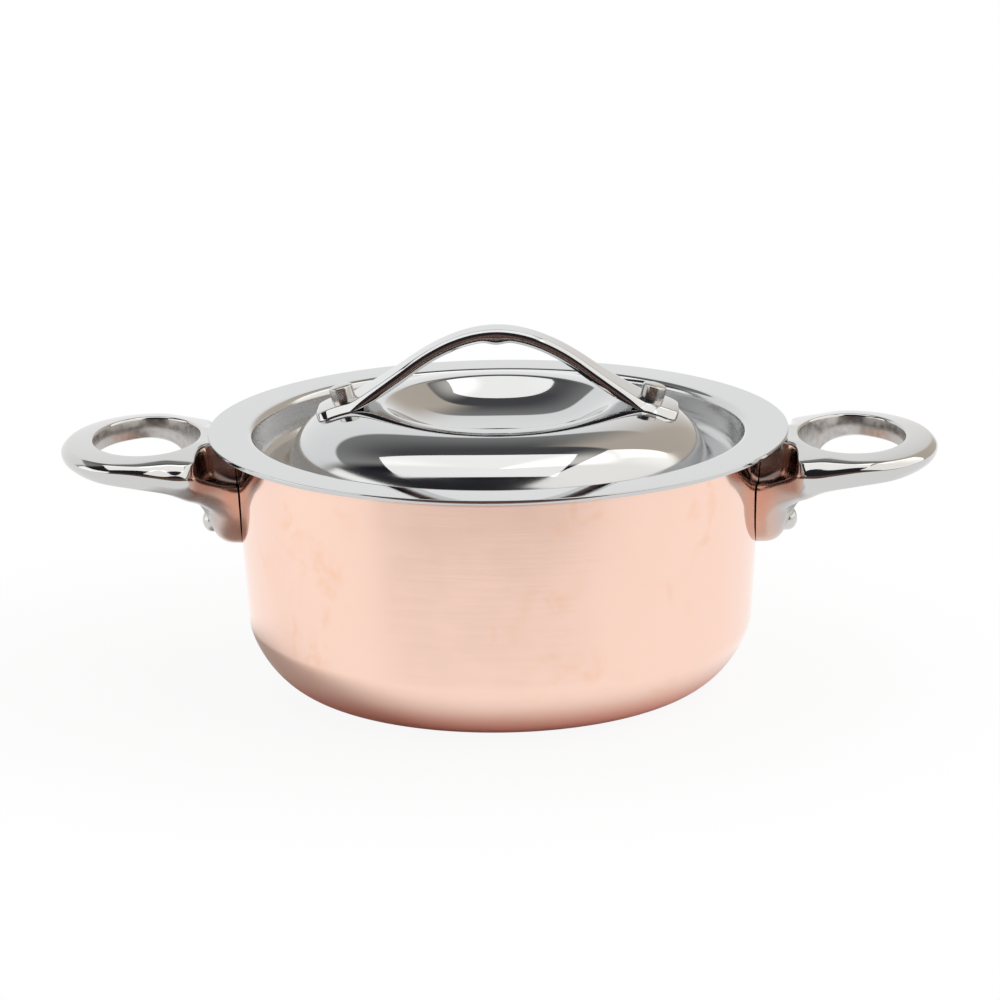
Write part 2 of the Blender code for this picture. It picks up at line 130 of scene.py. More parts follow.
def add_length(tree, x, y):
    squares = add_math(tree, "ADD", multiply(tree, x, x), multiply(tree, y, y))
    return add_math(tree, "SQRT", squares)


def object_place(tree):
    return tree.nodes.new("ShaderNodeTexCoord").outputs["Object"]


def split_axes(tree, vector):
    return add_node(tree, "ShaderNodeSeparateXYZ", Vector=vector).node.outputs


def radius_and_height(tree):
    """How far a spot is from the pot's axis, and how high above its base."""
    x, y, z = split_axes(tree, object_place(tree))
    return add_length(tree, x, y), z


def ring_coordinates(tree, round_scale, across_scale):
    """Coordinates that run slowly round the pot's axis and fast across it."""
    x, y, z = split_axes(tree, object_place(tree))
    return add_node(tree, "ShaderNodeCombineXYZ",
                    X=multiply(tree, add_math(tree, "ARCTAN2", y, x), round_scale),
                    Y=multiply(tree, z, across_scale),
                    Z=multiply(tree, add_length(tree, x, y), across_scale))


def add_noise(tree, place, scale, detail=3.0, distortion=0.0):
    return add_node(tree, "ShaderNodeTexNoise", Vector=place, Scale=scale,
                    Detail=detail, Distortion=distortion)


def add_ramp(tree, factor, first, last, start=0.3, end=0.7):
    """Fade from one colour to another between two values of the factor."""
    ramp = add_node(tree, "ShaderNodeValToRGB", Fac=factor)
    stops = zip(ramp.node.color_ramp.elements, (start, end), (first, last))
    for element, position, colour in stops:
        element.position = position
        element.color = (*colour, 1.0)
    return ramp


def map_range(tree, factor, low, high, to_low=0.0, to_high=1.0):
    mapped = add_node(tree, "ShaderNodeMapRange", Value=factor, From_Min=low,
                      From_Max=high, To_Min=to_low, To_Max=to_high)
    mapped.node.interpolation_type = "SMOOTHSTEP"
    return mapped


def add_layer(tree, share, under, colour):
    """Lay a colour over another one, as thickly as a share says."""
    layers = tree.nodes.new("ShaderNodeMix")
    layers.data_type = "RGBA"
    for place, value in ((0, share), (6, under), (7, colour)):
        feed(tree, layers.inputs[place], value)
    return layers.outputs[2]


def add_bump(tree, shader, height, strength, depth):
    join(tree, shader, Normal=add_node(tree, "ShaderNodeBump", Strength=strength,
                                       Distance=depth, Height=height))


def add_ring_grain(tree, shader):
    """Scratches that run round the axis, and so blur reflections across it."""
    tangent = add_node(tree, "ShaderNodeTangent")
    tangent.node.direction_type = "RADIAL"
    tangent.node.axis = "Z"
    join(tree, shader, Anisotropic_Rotation=0.25, Tangent=tangent)


# %% [markdown]
# ### Copper
# The bowl's copper is satin: it was turned with a fine abrasive, then handled, so
# it is a pale pink with faint orange smears where it has begun to tarnish. Two
# noises mix the tints, one broad and one finer and swirled, and a ring noise gives
# the turning marks. Toward the base the copper is painted redder, a painted
# reflection of the dark, shaded floor and table that the low copper mirrors, and
# beside the handles it has more of a polish.

# %% The copper
# Heights over which the base is painted redder: a painted reflection of the dark floor
# and table
BASE_REFLECTION_HEIGHTS = (0.0085, 0.0005)
SHINY_BESIDE = (0.0380, 0.0470, 1.0, 0.45)


def make_copper():
    material, tree, shader = metal_nodes("satin_copper", 0.22, 0.85)
    place = object_place(tree)
    x, _, z = split_axes(tree, place)
    broad = add_noise(tree, place, 45.0, 2.0, 0.6)
    smear = add_noise(tree, place, 150.0, 5.0, 1.4)
    tarnish = multiply(tree, map_range(tree, broad, 0.52, 0.72),
                       map_range(tree, smear, 0.45, 0.70, 0.0, 0.7))
    tint = add_ramp(tree, tarnish, (0.97, 0.685, 0.572), (0.95, 0.60, 0.43), 0.0, 1.0)
    # Painted reflection: the base is tinted red-brown where the copper mirrors the dark,
    # shaded floor
    base_reflection = map_range(tree, z, *BASE_REFLECTION_HEIGHTS)
    grain = add_noise(tree, ring_coordinates(tree, 3.0, 4000.0), 1.0, 2.0)
    blotch = add_noise(tree, place, 90.0, 3.0)
    satin = add_math(tree, "ADD", map_range(tree, blotch, 0.3, 0.7, 0.20, 0.23),
                     map_range(tree, grain, 0.3, 0.7, 0.0, 0.03))
    beside = map_range(tree, add_math(tree, "ABSOLUTE", x), *SHINY_BESIDE)
    join(tree, shader, Base_Color=add_layer(tree, base_reflection, tint, (0.92, 0.44, 0.34)),
         Roughness=multiply(tree, satin, beside))
    add_bump(tree, shader, grain, 0.03, 0.00001)
    add_ring_grain(tree, shader)
    return material


COPPER = make_copper()
print("made", COPPER.name, "with", len(COPPER.node_tree.nodes), "nodes")

# %% [markdown]
# ### Steels and aluminium
# The lid and strap are polished until they mirror, with faint wiping marks. The lid
# stays satin in its trough. The cast handles are polished too, but inside the finger
# hole they keep the satin skin of the casting. Their scoops are painted dark brown, a
# painted reflection of the copper wall in shade, and their feet are satin, with a
# copper tint painted along the wall as a painted reflection of it. The liner is
# brushed in rings, and the rivets are satin. A mask is a product of ranges of radius
# and height.

# %% The steels and the aluminium
TROUGH_RADII, TROUGH_HEIGHTS = (0.0375, 0.0405), (0.0508, 0.0500)
SCOOP_RADII = (0.0635, 0.0605)
SCOOP_TOP_HEIGHTS, SCOOP_LOW_HEIGHTS = (0.0482, 0.0462), (0.0395, 0.0415)
FOOT_RADII, FOOT_HEIGHTS = (0.0680, 0.0620), (0.0425, 0.0405)
# Reach of the copper tint on the feet by the wall, a painted reflection of the copper
# wall
COPPER_REFLECTION_RADII = (0.0585, 0.0530)


def make_polished(name, tint, low, high):
    material, tree, shader = metal_nodes(name, low)
    place = object_place(tree)
    wiping = add_noise(tree, place, 120.0, 4.0, 0.8)
    haze = add_noise(tree, place, 30.0, 2.0)
    paler = tuple(part * 1.03 for part in tint)
    join(tree, shader, Base_Color=add_ramp(tree, haze, tint, paler),
         Roughness=map_range(tree, wiping, 0.35, 0.75, low, high))
    add_bump(tree, shader, add_noise(tree, place, 70.0, 1.0), 0.02, 0.0002)
    return material


def roughen(tree, extra):
    """Add to the roughness that a finish already has."""
    shader = tree.nodes["Principled BSDF"]
    polish = shader.inputs["Roughness"].links[0].from_socket
    join(tree, shader, Roughness=add_math(tree, "ADD", polish, extra))


def make_lid_steel():
    material = make_polished("lid_steel", (0.60, 0.605, 0.61), 0.02, 0.05)
    tree = material.node_tree
    radius, height = radius_and_height(tree)
    roughen(tree, multiply(tree, map_range(tree, radius, *TROUGH_RADII),
                           map_range(tree, height, *TROUGH_HEIGHTS), 0.15))
    return material


def make_cast_steel():
    material = make_polished("polished_cast_steel", (0.60, 0.60, 0.595), 0.05, 0.10)
    tree = material.node_tree
    shader = tree.nodes["Principled BSDF"]
    radius, height = radius_and_height(tree)
    # In the scoops the colour is a painted reflection, dark brown where the copper wall
    # in shade is mirrored; their roughness rises there too
    scoop = multiply(tree, map_range(tree, radius, *SCOOP_RADII),
                     map_range(tree, height, *SCOOP_TOP_HEIGHTS),
                     map_range(tree, height, *SCOOP_LOW_HEIGHTS, 0.0, 0.75))
    foot = multiply(tree, map_range(tree, radius, *FOOT_RADII),
                    map_range(tree, height, *FOOT_HEIGHTS))
    satin = multiply(tree, foot, 0.85)
    # Painted reflection: the feet take a copper tint next to the wall that they mirror
    copper_reflection = multiply(tree, satin, map_range(tree, radius, *COPPER_REFLECTION_RADII))
    colour = shader.inputs["Base Color"].links[0].from_socket
    # Layers: the scoops' painted reflection, the feet's satin tint, and the feet's
    # painted copper reflection
    for share, tint in ((scoop, (0.30, 0.165, 0.13)), (satin, (0.50, 0.485, 0.475)),
                        (copper_reflection, (0.70, 0.44, 0.35))):
        colour = add_layer(tree, share, colour, tint)
    join(tree, shader, Base_Color=colour)
    roughen(tree, add_math(tree, "ADD", multiply(tree, foot, 0.17),
                           multiply(tree, scoop, 0.16)))
    return material


def make_ringed(name, tint, roughness):
    material, tree, shader = metal_nodes(name, roughness, 0.6)
    grain = add_noise(tree, ring_coordinates(tree, 2.0, 5000.0), 1.0, 3.0)
    darker = tuple(part * 0.9 for part in tint)
    join(tree, shader, Base_Color=add_ramp(tree, grain, darker, tint),
         Roughness=map_range(tree, grain, 0.3, 0.7, roughness - 0.05, roughness + 0.05))
    add_bump(tree, shader, grain, 0.2, 0.00002)
    add_ring_grain(tree, shader)
    return material


def make_cast_skin():
    material, tree, shader = metal_nodes("satin_cast_skin", 0.38)
    pits = add_noise(tree, object_place(tree), 800.0, 5.0)
    join(tree, shader,
         Base_Color=add_ramp(tree, pits, (0.42, 0.40, 0.385), (0.61, 0.59, 0.57)),
         Roughness=map_range(tree, pits, 0.3, 0.7, 0.30, 0.44))
    add_bump(tree, shader, pits, 0.5, 0.00006)
    return material


LID_STEEL = make_lid_steel()
MIRROR_STEEL = make_polished("mirror_steel", (0.61, 0.615, 0.62), 0.05, 0.08)
CAST_STEEL = make_cast_steel()
RIVET_STEEL = make_polished("satin_rivet_steel", (0.63, 0.62, 0.60), 0.20, 0.26)
LINER_STEEL = make_ringed("brushed_liner_steel", (0.62, 0.615, 0.60), 0.28)
CORE_ALUMINIUM = make_ringed("core_aluminium", (0.80, 0.81, 0.82), 0.40)
CAST_SKIN = make_cast_skin()
print("made", len(bpy.data.materials), "materials")

# %% [markdown]
# ## Turning
# The bowl, the lid and the rivets are all turned or spun: one outline goes round
# one axis. That is a rule, so one Geometry Nodes tree makes them. It takes the
# outline as a line of points in X and Z, lays it across a circle, and sweeps it
# round. Points on the axis would leave a tiny hole, so near points are merged.

# %% The turning tree
def start_tree(name, inputs):
    """A tree that takes a geometry and these inputs, and gives a geometry."""
    tree = bpy.data.node_groups.new(name, "GeometryNodeTree")
    tree.is_modifier = True
    for label, kind in {"Geometry": "Geometry", **inputs}.items():
        tree.interface.new_socket(label, in_out="INPUT", socket_type="NodeSocket" + kind)
    tree.interface.new_socket("Geometry", in_out="OUTPUT",
                              socket_type="NodeSocketGeometry")
    return tree, tree.nodes.new("NodeGroupInput"), tree.nodes.new("NodeGroupOutput")


SWEEP_RADIUS = 0.05
WELD = 1e-7


def add_turning(tree, outline, steps):
    x, _, z = split_axes(tree, add_node(tree, "GeometryNodeInputPosition"))
    lying = add_node(tree, "ShaderNodeCombineXYZ", Y=multiply(tree, z, -1.0),
                     X=add_math(tree, "SUBTRACT", x, SWEEP_RADIUS))
    laid = add_node(tree, "GeometryNodeSetPosition", Geometry=outline, Position=lying)
    line = add_node(tree, "GeometryNodeMeshToCurve", Mesh=laid)
    circle = add_node(tree, "GeometryNodeCurvePrimitiveCircle", Resolution=steps,
                      Radius=SWEEP_RADIUS)
    upright = add_node(tree, "GeometryNodeSetCurveNormal", Curve=circle)
    upright.node.mode = "Z_UP"
    swept = add_node(tree, "GeometryNodeCurveToMesh", Curve=upright, Profile_Curve=line)
    merged = add_node(tree, "GeometryNodeMergeByDistance", Geometry=swept, Distance=WELD)
    return add_node(tree, "GeometryNodeSetShadeSmooth", Geometry=merged)


def add_finish(tree, outgoing, geometry, material):
    whole = add_node(tree, "GeometryNodeRealizeInstances", Geometry=geometry)
    coated = add_node(tree, "GeometryNodeSetMaterial", Geometry=whole, Material=material)
    tree.links.new(coated, outgoing.inputs[0])


turning, given, outgoing = start_tree("turned_piece",
                                      {"Steps": "Int", "Metal": "Material"})
form = add_turning(turning, given.outputs["Geometry"], given.outputs["Steps"])
add_finish(turning, outgoing, form, given.outputs["Metal"])
print("turning tree:", len(turning.nodes), "nodes")

# %% [markdown]
# A modifier's inputs are set by the identifier that Blender gave each socket. The
# result is then copied into a plain mesh, its doubles are merged and its faces
# turned outwards, and the object that carried the outline is removed.

# %% Run a tree and keep its mesh
def add_object(name, data):
    made = bpy.data.objects.new(name, data)
    bpy.context.scene.collection.objects.link(made)
    return made


def clean_mesh(mesh):
    bm = bmesh.new()
    bm.from_mesh(mesh)
    bmesh.ops.remove_doubles(bm, verts=bm.verts, dist=WELD)
    bmesh.ops.dissolve_degenerate(bm, edges=bm.edges, dist=WELD / 10)
    bmesh.ops.recalc_face_normals(bm, faces=bm.faces)
    bm.to_mesh(mesh)
    bm.free()
    mesh.shade_smooth()


def evaluated_mesh(carrier):
    ready = carrier.evaluated_get(bpy.context.evaluated_depsgraph_get())
    mesh = bpy.data.meshes.new_from_object(ready)
    clean_mesh(mesh)
    return mesh


def run_tree(name, tree, outline, values):
    line = bpy.data.meshes.new(name + "_outline")
    line.from_pydata([(point.x, 0.0, point.y) for point in outline],
                     [(k, k + 1) for k in range(len(outline) - 1)], [])
    carrier = add_object(name + "_outline", line)
    modifier = carrier.modifiers.new("tree", "NODES")
    modifier.node_group = tree
    for item in tree.interface.items_tree:
        if item.name in values:
            modifier[item.identifier] = values[item.name]
    mesh = evaluated_mesh(carrier)
    bpy.data.objects.remove(carrier)
    mesh.name = name
    print("%s: %d faces" % (name, len(mesh.polygons)))
    return add_object(name, mesh)


# %% [markdown]
# ## Outlines
# An outline is a row of (radius, height) points. Two helpers draw most of it: a
# Bezier curve for a swept corner, and a rounding that replaces a sharp corner by a
# short curve. A third shifts a whole outline sideways, which turns the surface of a
# sheet into its other side.

# %% Helpers for outlines
def mix(start, end, share):
    return start + (end - start) * share


def downhill(angle):
    return Vector((cos(angle), -sin(angle)))


def bezier(start, start_pull, end_pull, end, steps):
    points = []
    for k in range(steps + 1):
        t = k / steps
        s = 1 - t
        points.append(start * s ** 3 + start_pull * 3 * s * s * t
                      + end_pull * 3 * s * t * t + end * t ** 3)
    return points


CUT_LIMIT = 0.48
NO_LENGTH = 1e-9


def rounded(corners):
    """Round each (point, cut, steps) corner with a curve tangent to its sides.
    A cut of 0 leaves the point as it is, as the ends of an open path need."""
    points = []
    count = len(corners)
    for k, (point, reach, steps) in enumerate(corners):
        if reach == 0:
            points.append(point)
            continue
        before = corners[k - 1][0] - point
        after = corners[(k + 1) % count][0] - point
        start = point + before * min(CUT_LIMIT, reach / max(before.length, NO_LENGTH))
        end = point + after * min(CUT_LIMIT, reach / max(after.length, NO_LENGTH))
        for i in range(steps + 1):
            t = i / steps
            points.append(start * (1 - t) ** 2 + point * 2 * t * (1 - t) + end * t * t)
    return points


def offset(points, depth):
    """Shift a path of (radius, height) to its right-hand side by a depth."""
    shifted = []
    for k, point in enumerate(points):
        along = points[min(k + 1, len(points) - 1)] - points[max(k - 1, 0)]
        along.normalize()
        shifted.append(point + Vector((along.y, -along.x)) * depth)
    return shifted


# %% [markdown]
# ## Bowl
# A bowl like this is drawn from a disc of three metals rolled together. The wall
# leans out a little, and a soft corner leads it into the flat base. The rim is a
# plain cut edge, where the three metals show as three rings, so each ply is a piece
# of its own. Here the plies touch, as they do in the real wall.

# %% The three plies
WALL_TAPER = 0.062
KNEE_HEIGHT = 0.0128
BASE_RADIUS = 0.0380
KNEE_PULL = 0.0035
BASE_PULL = 0.0068
WALL_SHEET = 0.0025
COPPER_DEPTH = 0.0006
LINER_DEPTH = 0.0018
RIM_BREAK = 0.00015
RIM_ROUNDING = 0.4
WALL_STEPS, KNEE_STEPS, BASE_STEPS = 24, 40, 12


def wall_radius(height):
    return RIM_RADIUS - WALL_TAPER * (POT_HEIGHT - height)


def wall_surface(depth):
    """From the rim to the axis: the bowl's outside shifted into its wall."""
    knee = Vector((wall_radius(KNEE_HEIGHT), KNEE_HEIGHT))
    down_wall = Vector((-WALL_TAPER, -1.0)).normalized()
    base = Vector((BASE_RADIUS, 0.0))
    corner = bezier(knee, knee + down_wall * KNEE_PULL,
                    base + Vector((BASE_PULL, 0.0)), base, KNEE_STEPS)
    rim = Vector((RIM_RADIUS, POT_HEIGHT))
    wall = [mix(rim, knee, k / WALL_STEPS) for k in range(WALL_STEPS)]
    floor = [base * (1 - k / BASE_STEPS) for k in range(1, BASE_STEPS + 1)]
    path = offset(wall + corner + floor, depth)
    path[0] = Vector((RIM_RADIUS - depth * hypot(1, WALL_TAPER), POT_HEIGHT))
    path[-1] = Vector((0.0, depth))
    return path


def make_ply(name, outside, inside, metal):
    outer = wall_surface(outside)
    inner = wall_surface(inside)
    down = (outer[1] - outer[0]).normalized() * RIM_BREAK
    across = (inner[0] - outer[0]).normalized() * RIM_BREAK
    rim = [outer[0] + down, outer[0] + across, inner[0] - across, inner[0] + down]
    rim.insert(1, rim[0].lerp(rim[1], 0.5).lerp(outer[0], RIM_ROUNDING))
    outline = outer[:0:-1] + rim + inner[1:]
    return run_tree(name, turning, outline, {"Steps": 256, "Metal": metal})


copper_ply = make_ply("pot_copper", 0.0, COPPER_DEPTH - CLOSE, COPPER)
core_ply = make_ply("pot_core", COPPER_DEPTH, LINER_DEPTH, CORE_ALUMINIUM)
liner_ply = make_ply("pot_liner", LINER_DEPTH + CLOSE, WALL_SHEET, LINER_STEEL)

# %% [markdown]
# ## Lid
# The lid is pressed from one thin sheet. From the outside in there is a flat flange
# that rests on the rim, a rounded shoulder, a trough that drops into the bowl and
# centres the lid, a dome that rises out of it, and a dish sunk into the top of the
# dome. One path gives the upper face, and the same path shifted by the sheet's
# thickness gives the lower one.

# %% The lid's outline
LID_SHEET = 0.0009
SPIGOT_CLEARANCE = 0.0006
SHOULDER_RADIUS = 0.0017
TROUGH_DEPTH = 0.0078
TROUGH_FILLET = 0.0028
DOME_RADIUS = 0.0410
DOME_DROP = 0.0102
DOME_SWING = radians(78)
DOME_FOOT_FILLET = 0.0028
CREST_RADIUS = 0.0232
CREST_ROUNDING = 0.0021
DISH_EDGE_ANGLE = radians(32)
DISH_DEPTH = 0.0062
DISH_EDGE_PULL = 0.0066
DISH_FLOOR_PULL = 0.0139
FLANGE_EDGE_BREAK = 0.00022
DOME_SPAN = DOME_RADIUS - CREST_RADIUS
FILLET_STEPS, DOME_STEPS, CREST_STEPS, DISH_STEPS = 14, 50, 10, 36


def dome_rise(radius):
    """Height of the dome above the flange, outside the crest."""
    share = (radius - CREST_RADIUS) / DOME_SPAN
    return CREST_RISE - DOME_DROP * (1 - sqrt(max(0.0, 1 - share * share)))


def dome_slope(radius):
    share = (radius - CREST_RADIUS) / DOME_SPAN
    return DOME_DROP / DOME_SPAN * share / sqrt(1 - share * share)


def lid_surface():
    """Upper face of the lid from the flange edge to the axis."""
    spigot = RIM_RADIUS - WALL_SHEET - SPIGOT_CLEARANCE - LID_SHEET
    floor_spigot = spigot - WALL_TAPER * TROUGH_DEPTH
    dome_base = CREST_RISE - DOME_DROP

    def on_dome(swing):
        return Vector((CREST_RADIUS + DOME_SPAN * sin(swing),
                       dome_base + DOME_DROP * cos(swing)))

    skirt = on_dome(DOME_SWING)
    skirt_run = (skirt.y + TROUGH_DEPTH) / (DOME_DROP / DOME_SPAN * tan(DOME_SWING))
    path = rounded([(Vector((FLANGE_RADIUS - FLANGE_EDGE_BREAK, 0.0)), 0, 0),
                    (Vector((spigot, 0.0)), SHOULDER_RADIUS, FILLET_STEPS),
                    (Vector((floor_spigot, -TROUGH_DEPTH)), TROUGH_FILLET, FILLET_STEPS),
                    (Vector((skirt.x + skirt_run, -TROUGH_DEPTH)), DOME_FOOT_FILLET,
                     FILLET_STEPS), (skirt, 0, 0)])
    path += [on_dome(DOME_SWING * (1 - k / DOME_STEPS)) for k in range(1, DOME_STEPS + 1)]
    for k in range(1, CREST_STEPS + 1):
        tilt = DISH_EDGE_ANGLE * k / CREST_STEPS
        path.append(Vector((CREST_RADIUS - CREST_ROUNDING * sin(tilt),
                            CREST_RISE - CREST_ROUNDING * (1 - cos(tilt)))))
    down_dish = Vector((-cos(DISH_EDGE_ANGLE), -sin(DISH_EDGE_ANGLE)))
    floor = Vector((0.0, CREST_RISE - DISH_DEPTH))
    path += bezier(path[-1], path[-1] + down_dish * DISH_EDGE_PULL,
                   floor + Vector((DISH_FLOOR_PULL, 0.0)), floor, DISH_STEPS)[1:]
    return [point + Vector((0.0, FLANGE_TOP)) for point in path]


upper = lid_surface()
lower = offset(upper, -LID_SHEET)
lower[-1] = Vector((0.0, upper[-1].y - LID_SHEET))
edge = rounded([(upper[0], 0, 0),
                (Vector((FLANGE_RADIUS, FLANGE_TOP)), FLANGE_EDGE_BREAK, 4),
                (Vector((FLANGE_RADIUS, FLANGE_TOP - LID_SHEET)), FLANGE_EDGE_BREAK, 4),
                (lower[0], 0, 0)])
lid_piece = run_tree("lid_pressing", turning, upper[::-1] + edge[1:-1] + lower,
                     {"Steps": 256, "Metal": LID_STEEL})

# %% [markdown]
# ## Strap
# The lid's handle is a steel strap, forged to a narrow, thick arch between two thin,
# wide feet. Its flanks bulge slightly, its top edges are bevelled, and a small bump
# under the crown keeps a finger centred. Its section changes all along, so it is
# lofted: a section is drawn at each point of the path and the sections are skinned.

# %% Helper for lofts
def lofted(name, sections, metals, ring, metal_of=lambda k: 0):
    """Skin equal sections, either round in a ring or from cap to cap."""
    rows = len(sections)
    around = len(sections[0])
    points = [point for section in sections for point in section]
    faces = []
    for row in range(rows if ring else rows - 1):
        here, there = row * around, (row + 1) % rows * around
        for k in range(around):
            after = (k + 1) % around
            faces.append((here + k, here + after, there + after, there + k))
    if not ring:
        faces += [range(around), range((rows - 1) * around, rows * around)]
    mesh = bpy.data.meshes.new(name)
    mesh.from_pydata(points, [], faces)
    for metal in metals:
        mesh.materials.append(metal)
    for face in mesh.polygons:
        face.material_index = metal_of(face.index % around)
    clean_mesh(mesh)
    print("%s: %d sections of %d points" % (name, rows, around))
    return add_object(name, mesh)


# %% The strap's line
STRAP_APEX = strap_high.z
STRAP_FOOT_REACH = strap_high.x
STRAP_FOOT_WIDTH = 2 * strap_high.y
STRAP_SHEET = 0.0024
STRAP_WIDTH = 0.0064
STRAP_CROWN_PULL = 0.0079
STRAP_FLANK_REACH = 0.0183
STRAP_FLANK_RISE = 0.0128
STRAP_FLANK_ANGLE = radians(36.6)
STRAP_UPPER_PULL = 0.0044
STRAP_LOWER_PULL = 0.0030
STRAP_FOOT_LENGTH = 0.0066
STRAP_FOOT_START = STRAP_FOOT_REACH - STRAP_FOOT_LENGTH
STRAP_FOOT_SHEET = 0.00146
STRAP_FOOT_PULL = 0.0015
STRAP_CORNER = 0.0026
GRIP_BUMP_HEIGHT = 0.0006
GRIP_BUMP_REACH = 0.0036
WIDENING, FLATTENING = 3, 10
CROWN_STEPS, FLANK_STEPS, FOOT_STEPS, CORNER_STEPS = 60, 40, 8, 20


def foot_tilt(reach):
    return atan(dome_slope(reach))


def foot_top(reach):
    """Top line of a foot, which lies on the dome."""
    rise = dome_rise(reach) + (CLOSE + STRAP_FOOT_SHEET) / cos(foot_tilt(reach))
    return Vector((reach, FLANGE_TOP + rise))


def strap_half():
    """Top line of the strap from the middle of the arch to the end of a foot."""
    crown = Vector((0.0, STRAP_APEX))
    middle = Vector((STRAP_FLANK_REACH, FLANGE_TOP + STRAP_FLANK_RISE))
    down_flank = downhill(STRAP_FLANK_ANGLE)
    foot = foot_top(STRAP_FOOT_START)
    down_foot = downhill(foot_tilt(STRAP_FOOT_START))
    path = bezier(crown, crown + Vector((STRAP_CROWN_PULL, 0.0)),
                  middle - down_flank * STRAP_UPPER_PULL, middle, CROWN_STEPS)
    path += bezier(middle, middle + down_flank * STRAP_LOWER_PULL,
                   foot - down_foot * STRAP_FOOT_PULL, foot, FLANK_STEPS)[1:]
    level = STRAP_FOOT_REACH - STRAP_CORNER - STRAP_FOOT_START
    path += [foot_top(STRAP_FOOT_START + level * k / FOOT_STEPS)
             for k in range(1, FOOT_STEPS + 1)]
    path += [foot_top(STRAP_FOOT_REACH
                      - STRAP_CORNER * (1 - sin(pi / 2 * k / CORNER_STEPS)))
             for k in range(1, CORNER_STEPS + 1)]
    return path


def lost_to_round(radius, from_end):
    """What a rounding takes off at a distance from an end."""
    if from_end >= radius:
        return 0.0
    return radius - sqrt(radius ** 2 - (radius - from_end) ** 2)


path = strap_half()
print("strap's half: %d points, foot tilt %.1f degrees"
      % (len(path), foot_tilt(STRAP_FOOT_START) * 180 / pi))

# %% [markdown]
# Across the arch a section is nearly flat on top. Across a foot it bends with the
# dome. A flat bevel takes off both top edges, narrow on the arch and wide on the
# feet, and at the end of a foot the whole section is rolled over, which closes it.

# %% The strap's sections
STRAP_BULGE = 0.0002
ARCH_BEVEL = 0.0005
FOOT_BEVEL = 0.0014
BEVEL_LIMIT = 0.9
BEVEL_SOFTENING = 0.3
TOP_PARTS, LOW_PARTS = (-0.6, -0.3, 0.0, 0.3, 0.6), (0.6, 0.0, -0.6)
FLANK_MIDDLE = 0.4
FLANK_ROUNDING = 0.0006
UNDER_EASING = 0.0003
TIP_EASING = 0.0006


def strap_section(k, side):
    """The section at a point of the path, toward -X or X."""
    place = path[k]
    ahead = path[min(k + 1, len(path) - 1)]
    behind = path[k - 1] if k else Vector((-ahead.x, ahead.y))
    fall = -asin((ahead - behind).normalized().y)
    inward = Vector((-side * sin(fall), 0.0, -cos(fall)))
    share = min(1.0, place.x / STRAP_FOOT_START)
    foot_share = share ** FLATTENING
    from_end = STRAP_FOOT_REACH - place.x
    half = (mix(STRAP_WIDTH, STRAP_FOOT_WIDTH, share ** WIDENING) / 2
            - lost_to_round(STRAP_CORNER, from_end))
    sheet = mix(STRAP_SHEET, STRAP_FOOT_SHEET, foot_share)
    if place.x < GRIP_BUMP_REACH:
        sheet += GRIP_BUMP_HEIGHT * (1 + cos(pi * place.x / GRIP_BUMP_REACH)) / 2

    def at(across, depth):
        drop = (dome_rise(hypot(place.x, across)) - dome_rise(place.x)) * foot_share
        return Vector((side * place.x, across, place.y + drop)) + inward * depth

    bevel = mix(ARCH_BEVEL, FOOT_BEVEL, foot_share)
    rolled = lost_to_round(TIP_EASING, from_end)
    inner = half - STRAP_BULGE * (1 - foot_share)
    level = inner - bevel
    bevelled = min(rolled + bevel, sheet * BEVEL_LIMIT)
    soft = (bevel * BEVEL_SOFTENING, 3)
    top = [(at(inner * part, rolled), 0, 0) for part in TOP_PARTS]
    low = [(at(inner * part, sheet), 0, 0) for part in LOW_PARTS]
    middle = mix(bevelled, sheet, FLANK_MIDDLE)
    return rounded([(at(-inner, bevelled), *soft), (at(-level, rolled), *soft), *top,
                    (at(level, rolled), *soft), (at(inner, bevelled), *soft),
                    (at(half, middle), FLANK_ROUNDING, 6),
                    (at(inner, sheet), UNDER_EASING, 4), *low,
                    (at(-inner, sheet), UNDER_EASING, 4),
                    (at(-half, middle), FLANK_ROUNDING, 6)])


sections = [strap_section(k, -1) for k in range(len(path) - 1, 0, -1)]
sections += [strap_section(k, 1) for k in range(len(path))]
strap_piece = lofted("lid_strap", sections, [MIRROR_STEEL], ring=False)

# %% [markdown]
# ## Rivets
# All four rivets are turned pins with a head outside and a low tail inside, in two
# sizes. They come in pairs, mirrored across the pot, so a second tree turns one
# rivet and sets it down at both places. The strap's rivets have chunky heads with an
# eased edge, and the side handles' rivets have domed ones.

# %% The tree for a pair of rivets
pairing, given, outgoing = start_tree(
    "rivet_pair", {"Steps": "Int", "Reach": "Float", "Height": "Float",
                   "Lean": "Float", "Metal": "Material"})
rivet_form = add_turning(pairing, given.outputs["Geometry"], given.outputs["Steps"])
number = add_node(pairing, "GeometryNodeInputIndex")
side = add_math(pairing, "SUBTRACT", multiply(pairing, number, 2.0), 1.0)
stand = add_node(pairing, "ShaderNodeCombineXYZ", Z=given.outputs["Height"],
                 X=multiply(pairing, side, given.outputs["Reach"]))
spots = add_node(pairing, "GeometryNodePoints", Count=2, Position=stand)
lean = add_node(pairing, "ShaderNodeCombineXYZ",
                Y=multiply(pairing, side, given.outputs["Lean"]))
turn = add_node(pairing, "FunctionNodeEulerToRotation", Euler=lean)
placed = add_node(pairing, "GeometryNodeInstanceOnPoints", Points=spots,
                  Instance=rivet_form, Rotation=turn)
add_finish(pairing, outgoing, placed, given.outputs["Metal"])
print("rivet tree:", len(pairing.nodes), "nodes")


